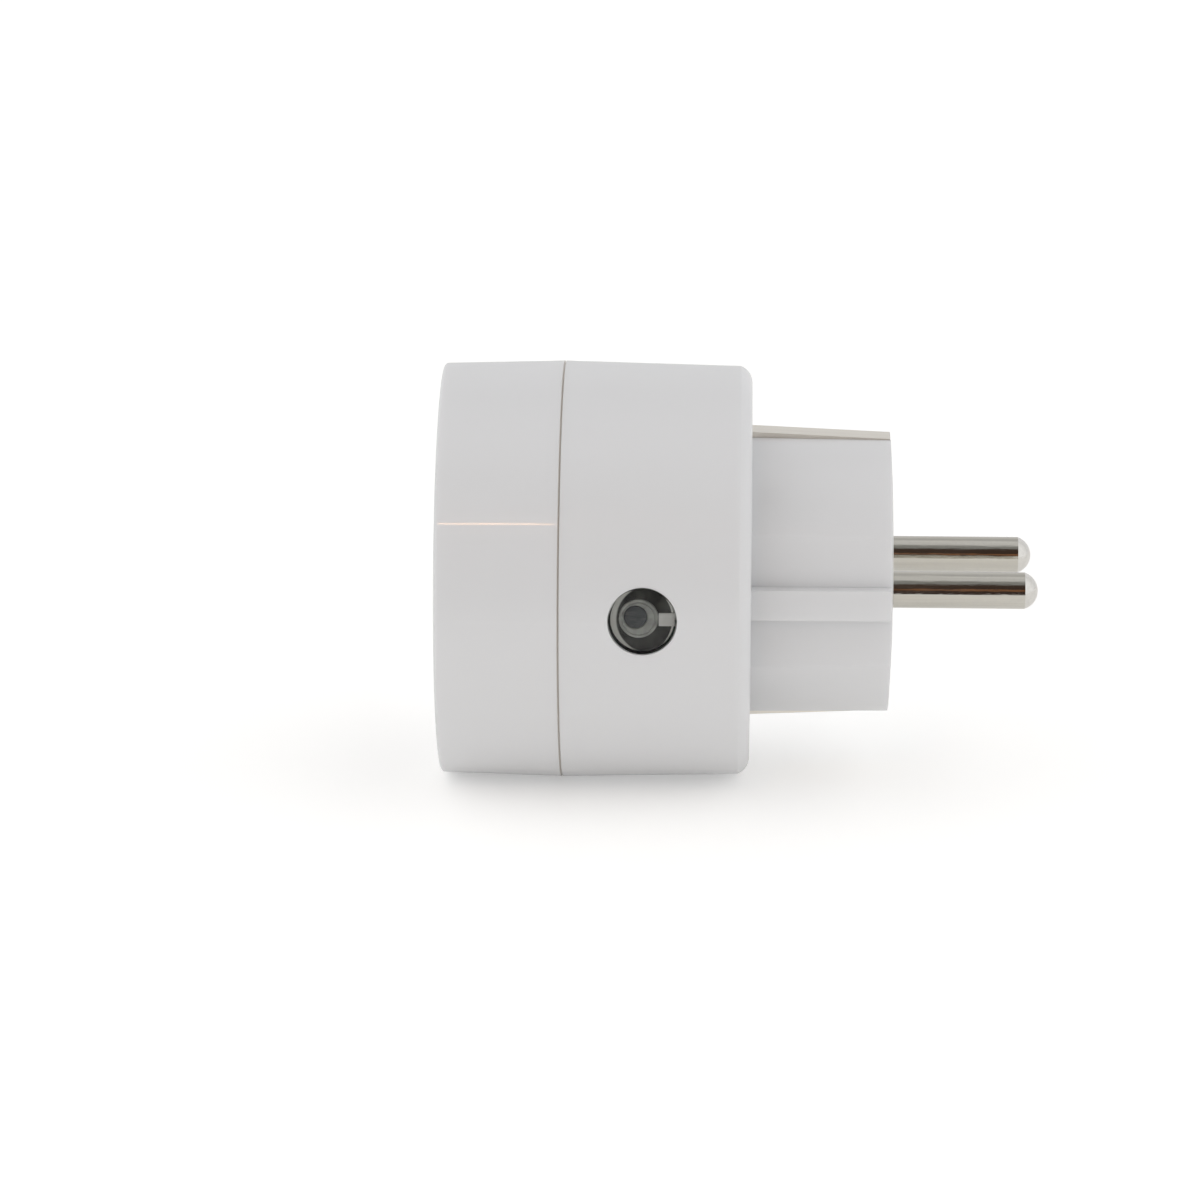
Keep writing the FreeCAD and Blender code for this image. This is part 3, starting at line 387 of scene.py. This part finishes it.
def core_dark():
    """Dark moulding with scuffs across it."""
    made = Shader("core_dark", (0.06, 0.064, 0.073), 0.3)
    made.tint(made.noise(0.35 * MM, 3.0), (0.03, 0.033, 0.038), 0.9)
    made.tint(made.noise(0.5 * MM, 2.0, (1, 0.5, 3.0)), (0.15, 0.155, 0.16), 0.5)
    made.rough(made.noise(0.3 * MM), 0.08)
    made.bump(made.noise(0.2 * MM, 3.0), 0.01 * MM, 0.5)
    made.set("Specular IOR Level", 0.25)
    return made


def seat_shaded(middle):
    """The seat around the light guide, painted near-black for the shade inside the button, with pale
    crescents of painted light at its two ends, where light reaches it.
    """
    # painted shade: the near-black colour stands in for the shade inside the button
    made = Shader("seat_shaded", (0.05, 0.05, 0.045), 0.4)
    made.tint(made.noise(1.3 * MM, 2.0), (0.005, 0.005, 0.005), 0.95)
    # painted light: pale crescents at the seat's two ends
    left = made.distance(middle + LEFT_PAINTED_LIGHT_PLACE)
    made.tint(made.ranged(left, 0, 1, *LEFT_PAINTED_LIGHT_RADII), (0.70, 0.70, 0.67))
    right = made.distance(middle + RIGHT_PAINTED_LIGHT_PLACE)
    made.tint(made.ranged(right, 0, 1, *RIGHT_PAINTED_LIGHT_RADII), (0.80, 0.80, 0.77))
    made.rough(made.noise(0.6 * MM), 0.05)
    made.bump(made.noise(0.15 * MM, 3.0), 0.004 * MM, 0.5)
    made.set("Specular IOR Level", 0.2)
    return made


def key_white():
    """White moulding, slightly uneven."""
    made = Shader("key_white", (0.70, 0.695, 0.68), 0.4)
    made.tint(made.noise(1.0 * MM), (0.62, 0.615, 0.60), 0.7)
    made.set("Specular IOR Level", 0.2)
    made.rough(made.noise(0.6 * MM), 0.05)
    made.bump(made.noise(0.15 * MM, 3.0), 0.004 * MM, 0.5)
    return made


def board_green():
    """Solder mask with the glass weave showing faintly through it."""
    made = Shader("board_green", (0.02, 0.13, 0.06), 0.3)
    made.tint(made.noise(3 * MM, 2.0), (0.03, 0.19, 0.09), 0.8)
    made.rough(made.noise(0.6 * MM), 0.05)
    made.bump(made.noise(0.4 * MM, 2.0), 0.01 * MM, 0.4)
    made.set("Coat Weight", 0.4).set("Coat Roughness", 0.1)
    return made


def winding(name, base):
    """Enamelled wire laid side by side along Y."""
    made = Shader(name, base, 0.28, 1.0)
    turns = made.node("ShaderNodeTexWave", wave_type="BANDS", bands_direction="Y", wave_profile="SIN")
    turns.inputs["Scale"].default_value = 0.55 / MM
    turns.inputs["Distortion"].default_value = 0.4
    made.link(made.place, turns.inputs["Vector"])
    made.tint(turns.outputs["Fac"], scaled(base, 1.3), 0.6)
    made.rough(made.noise(0.8 * MM), 0.05)
    made.bump(turns.outputs["Fac"], 0.05 * MM, 0.8)
    return made


SHADERS = {
    "shell_plastic": shell_plastic(),
    "pin_nickel": pin_nickel(),
    "screw_steel": metal("screw_steel", (0.55, 0.55, 0.56), 0.3, 0.2 * MM),
    "earth_plate": earth_plate(),
    "copper_strap": metal("copper_strap", (0.68, 0.38, 0.22), 0.32, 0.2 * MM),
    "contact_brass": metal("contact_brass", (0.75, 0.58, 0.28), 0.26, 0.2 * MM),
    "carrier_plastic": moulded("carrier_plastic", (0.05, 0.05, 0.055), 0.45),
    "shutter_plastic": moulded("shutter_plastic", (0.70, 0.70, 0.68), 0.4),
    "spring_steel": metal("spring_steel", (0.5, 0.5, 0.5), 0.25, 0.1 * MM),
    "button_clear": button_clear(),
    "guide_black": moulded("guide_black", (0.02, 0.02, 0.022), 0.5),
    "plunger_black": moulded("plunger_black", (0.03, 0.03, 0.032), 0.4),
    "board_green": board_green(),
    "led_clear": moulded("led_clear", (0.75, 0.77, 0.72), 0.15, coat=0.5),
    "relay_black": moulded("relay_black", (0.03, 0.03, 0.035), 0.4, coat=0.2),
    "relay_iron": metal("relay_iron", (0.5, 0.5, 0.48), 0.35, 0.3 * MM),
    "coil_winding": winding("coil_winding", (0.55, 0.22, 0.10)),
    "capacitor_sleeve": moulded("capacitor_sleeve", (0.02, 0.02, 0.04), 0.25, coat=0.5),
    "varistor_blue": moulded("varistor_blue", (0.03, 0.10, 0.32), 0.35, coat=0.3),
    "capacitor_yellow": moulded("capacitor_yellow", (0.70, 0.50, 0.06), 0.3, coat=0.3),
    "resistor_body": moulded("resistor_body", (0.16, 0.33, 0.24), 0.5),
    "chip_black": moulded("chip_black", (0.025, 0.025, 0.025), 0.4),
    "shield_tin": metal("shield_tin", (0.62, 0.62, 0.60), 0.25, 0.4 * MM),
}
for part in frame["record"]["subparts"]:
    paint(NODES[part["node"]], SHADERS[part["material_slot"]])


# ---- the push button ----

def ring(mesh, radius, x, centre):
    """New points round a circle about a line along X, or one point where the radius is nothing."""
    turns = [2 * math.pi * k / SEGMENTS for k in range(SEGMENTS if radius > TINY else 1)]
    return [mesh.verts.new((x, centre.y + radius * math.cos(turn), centre.z + radius * math.sin(turn)))
            for turn in turns]


def lathe(name, profile):
    """A closed solid turned about lines along X, from (radius, x, centre) points. A profile that starts off
    its line is joined end to start, and the others start and end on it."""
    mesh = bmesh.new()
    rings = [ring(mesh, *point) for point in profile]
    if profile[0][0] > TINY:
        rings.append(rings[0])
    for low, high in zip(rings, rings[1:]):
        for k in range(SEGMENTS):
            corners = [low[k % len(low)], low[(k + 1) % len(low)],
                       high[(k + 1) % len(high)], high[k % len(high)]]
            mesh.faces.new(list(dict.fromkeys(corners)))
    bmesh.ops.recalc_face_normals(mesh, faces=mesh.faces)
    return finish_mesh(name, mesh)


def about(centre, points):
    """Give each (radius, x) point of a profile its centre."""
    return [(radius, x, centre) for radius, x in points]


def finish_mesh(name, mesh):
    """An object in the scene from a bmesh, smooth but for its sharp edges."""
    data = bpy.data.meshes.new(name)
    mesh.to_mesh(data)
    mesh.free()
    piece = bpy.data.objects.new(name, data)
    bpy.context.scene.collection.objects.link(piece)
    data.shade_smooth()
    data.set_sharp_from_angle(angle=math.radians(SHARP_ANGLE))
    return piece


def arc(centre, radius, start, end):
    """Points on an arc of the profile, angles in degrees from the +radius direction towards +x."""
    turns = [math.radians(start + (end - start) * k / ARC_STEPS) for k in range(ARC_STEPS + 1)]
    return [(centre[0] + radius * math.cos(turn), centre[1] + radius * math.sin(turn)) for turn in turns]


def button():
    """The clear cap, the milky light guide under it, its dark core, the shaded seat and the white key."""
    middle = (BUTTON_LOW + BUTTON_HIGH) / 2
    flange = (BUTTON_HIGH.y - BUTTON_LOW.y) / 2
    reach = BUTTON_HIGH.x
    foot = BUTTON_LOW.x
    soft = BUTTON_EDGE
    under = reach - BUTTON_FACE
    inside = BUTTON_RADIUS - BUTTON_SKIRT
    face = BUTTON_RADIUS - soft
    crown_radii = [face * k / CROWN_STEPS for k in range(CROWN_STEPS + 1)]
    crown = [(radius, math.sqrt(reach ** 2 - radius ** 2)) for radius in crown_radii]
    cap = lathe("button_cap", about(middle, [
        *crown,
        *arc((face, crown[-1][1] - soft), soft, 72, 0),
        (BUTTON_RADIUS, FLANGE_TOP),
        *arc((flange - soft, FLANGE_TOP - soft), soft, 90, 0),
        (flange, FLANGE_BOTTOM),
        (inside, FLANGE_BOTTOM),
        *arc((inside - soft, under - soft), soft, 0, 90),
        (0, under),
    ]))
    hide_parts("button")
    paint(cap, SHADERS["button_clear"])

    top = under - PIECE_GAP
    stem_middle = middle + STEM_PLACE
    bore_middle = middle + BORE_PLACE
    stem_side = STEM_RADIUS - soft
    stem = lathe("button_light_guide", [
        *about(bore_middle, [(BORE_RADIUS, foot)]),
        *about(stem_middle, [
            (stem_side, foot),
            *arc((stem_side, foot + soft), soft, -90, 0),
            *arc((stem_side, top - soft), soft, 0, 90),
            (GROOVE_RADIUS + soft, top),
            (GROOVE_RADIUS, top - soft),
            (GROOVE_RADIUS - soft, top),
        ]),
        *about(bore_middle, [(BORE_RADIUS + soft, top), (BORE_RADIUS, top - soft)]),
    ])
    paint(stem, milky_guide())

    core_radius = BORE_RADIUS - CORE_GAP
    core_side = core_radius - 2 * soft
    core_foot = top - CORE_DEPTH
    core = lathe("button_core", about(bore_middle, [
        (0, top - soft),
        (core_side, top - soft),
        *arc((core_side, top - 3 * soft), 2 * soft, 90, 0),
        (core_radius, core_foot),
        (0, core_foot),
    ]))
    paint(core, core_dark())

    rim = inside - PIECE_GAP
    hole = STEM_RADIUS + PIECE_GAP
    seat_top = top - KEY_SIZE.x
    seat_low = seat_top - SEAT_DEPTH
    seat = lathe("button_seat", [
        *about(stem_middle, [(hole, seat_low)]),
        *about(middle, [(rim, seat_low), (rim, seat_top)]),
        *about(stem_middle, [(hole, seat_top)]),
    ])
    paint(seat, seat_shaded(Vector((seat_top, middle.y, middle.z))))

    block = bmesh.new()
    bmesh.ops.create_cube(block, size=1.0)
    place = Matrix.Translation((top - KEY_SIZE.x / 2, middle.y + KEY_ALONG, KEY_RISE))
    bmesh.ops.transform(block, matrix=place @ Matrix.Diagonal((*KEY_SIZE, 1)), verts=block.verts)
    bmesh.ops.bevel(block, geom=block.edges[:], offset=KEY_EDGE, segments=3, affect="EDGES", profile=0.5)
    key = finish_mesh("button_key", block)
    paint(key, key_white())

    for piece in (cap, stem, core, seat, key):
        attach(piece, "button")


button()


# ---- table, light and camera ----

def table():
    """A white sheet under the model, which the camera sees brighter than it lights the model."""
    middle = TABLE_FRONT - TABLE_SIZE / 2
    bpy.ops.mesh.primitive_plane_add(size=TABLE_SIZE, location=(middle, 0, CAD_LOW.z))
    floor = bpy.context.object
    floor.name = "table"
    made = Shader("table_white", (0.93, 0.925, 0.912), 0.6)
    made.tint(made.noise(0.4, 2.0), (0.91, 0.905, 0.892), 0.5)
    made.set("Specular IOR Level", 0.2).set("Emission Color", WHITE)
    seen = made.node("ShaderNodeLightPath").outputs["Is Camera Ray"]
    made.link(made.ranged(seen, TABLE_GLOW, TABLE_SEEN, 0, 1), made.bsdf.inputs["Emission Strength"])
    paint(floor, made)


def warm_strip():
    """A narrow warm lamp high on the camera's side, which shows as a thin line in the front cover."""
    data = bpy.data.lights.new("warm_strip", "AREA")
    data.shape = "RECTANGLE"
    data.size = STRIP_WIDTH
    data.size_y = STRIP_LENGTH
    data.energy = STRIP_WATTS
    data.color = STRIP_COLOUR
    lamp = bpy.data.objects.new("warm_strip", data)
    bpy.context.scene.collection.objects.link(lamp)
    facing = (STRIP_AIM - STRIP_PLACE).normalized()
    sideways = facing.cross(Vector((0, 1, 0))).normalized()
    turn = Matrix((sideways, sideways.cross(facing), -facing)).transposed().to_4x4()
    lamp.matrix_world = Matrix.Translation(STRIP_PLACE) @ turn


def surroundings():
    """A room that lights the model with two bright walls, and between them an aisle that is dark behind the
    camera and light above. Where the camera looks straight at it, it is plain white."""
    world = bpy.data.worlds.new("studio")
    bpy.context.scene.world = world
    world.use_nodes = True
    tree = world.node_tree
    tree.nodes.clear()

    def node(kind, **settings):
        made = tree.nodes.new(kind)
        for key, value in settings.items():
            setattr(made, key, value)
        return made

    def calculated(operation, *values):
        made = node("ShaderNodeMath", operation=operation)
        for socket, value in zip(made.inputs, values):
            if isinstance(value, (int, float)):
                socket.default_value = value
            else:
                tree.links.new(value, socket)
        return made.outputs[0]

    direction = node("ShaderNodeSeparateXYZ")
    tree.links.new(node("ShaderNodeTexCoord").outputs["Generated"], direction.inputs[0])
    height = calculated("ARCTAN2", direction.outputs["Z"], direction.outputs["X"])
    by_height = node("ShaderNodeValToRGB")
    tree.links.new(calculated("DIVIDE", height, math.pi), by_height.inputs["Fac"])
    ramp = by_height.color_ramp
    ramp.elements.remove(ramp.elements[-1])
    for degrees, colour in AISLE_LIGHT:
        stop = ramp.elements[0] if degrees == 0 else ramp.elements.new(degrees / 180)
        stop.color = (*colour, 1)

    aside = node("ShaderNodeMapRange", interpolation_type="SMOOTHSTEP")
    aside.inputs["From Min"].default_value = AISLE
    aside.inputs["From Max"].default_value = AISLE + AISLE_EDGE
    tree.links.new(calculated("ABSOLUTE", direction.outputs["Y"]), aside.inputs["Value"])
    shade = node("ShaderNodeMix", data_type="RGBA")
    tree.links.new(aside.outputs["Result"], shade.inputs[0])
    aisle, walls = colours(shade.inputs)
    tree.links.new(by_height.outputs["Color"], aisle)
    far = node("ShaderNodeMapRange")
    far.inputs["From Min"].default_value = FAR_START
    far.inputs["From Max"].default_value = FAR_END
    tree.links.new(direction.outputs["X"], far.inputs["Value"])
    wall = node("ShaderNodeMix", data_type="RGBA")
    tree.links.new(far.outputs["Result"], wall.inputs[0])
    near_wall, far_wall = colours(wall.inputs)
    near_wall.default_value = NEAR_WALLS
    far_wall.default_value = FAR_WALLS
    tree.links.new(colours(wall.outputs)[0], walls)

    room = node("ShaderNodeBackground")
    room.inputs["Strength"].default_value = ROOM_LIGHT
    tree.links.new(colours(shade.outputs)[0], room.inputs["Color"])
    seen = node("ShaderNodeBackground")
    seen.inputs["Color"].default_value = WHITE
    mix = node("ShaderNodeMixShader")
    tree.links.new(node("ShaderNodeLightPath").outputs["Is Camera Ray"], mix.inputs["Fac"])
    tree.links.new(room.outputs[0], mix.inputs[1])
    tree.links.new(seen.outputs[0], mix.inputs[2])
    tree.links.new(mix.outputs[0], node("ShaderNodeOutputWorld").inputs["Surface"])


def camera():
    """The camera at the photograph's viewing angle."""
    data = bpy.data.cameras.new("camera")
    data.lens = CAMERA_LENS
    data.sensor_width = CAMERA_SENSOR
    data.clip_end = CAMERA_REACH
    eye = bpy.data.objects.new("camera", data)
    bpy.context.scene.collection.objects.link(eye)
    azimuth = math.radians(CAMERA_AZIMUTH)
    elevation = math.radians(CAMERA_ELEVATION)
    level = math.cos(elevation)
    back = Vector((math.sin(azimuth) * level, -math.cos(azimuth) * level, math.sin(elevation)))
    right = Vector((0, 0, 1)).cross(back).normalized()
    up = back.cross(right)
    turn = Matrix((right, up, back)).transposed().to_4x4()
    roll = Matrix.Rotation(math.radians(CAMERA_ROLL), 4, "Z")
    eye.matrix_world = Matrix.Translation(CAMERA_AIM + back * CAMERA_DISTANCE) @ turn @ roll
    bpy.context.scene.camera = eye


bpy.context.scene.view_settings.view_transform = "Standard"
surroundings()
table()
warm_strip()
camera()
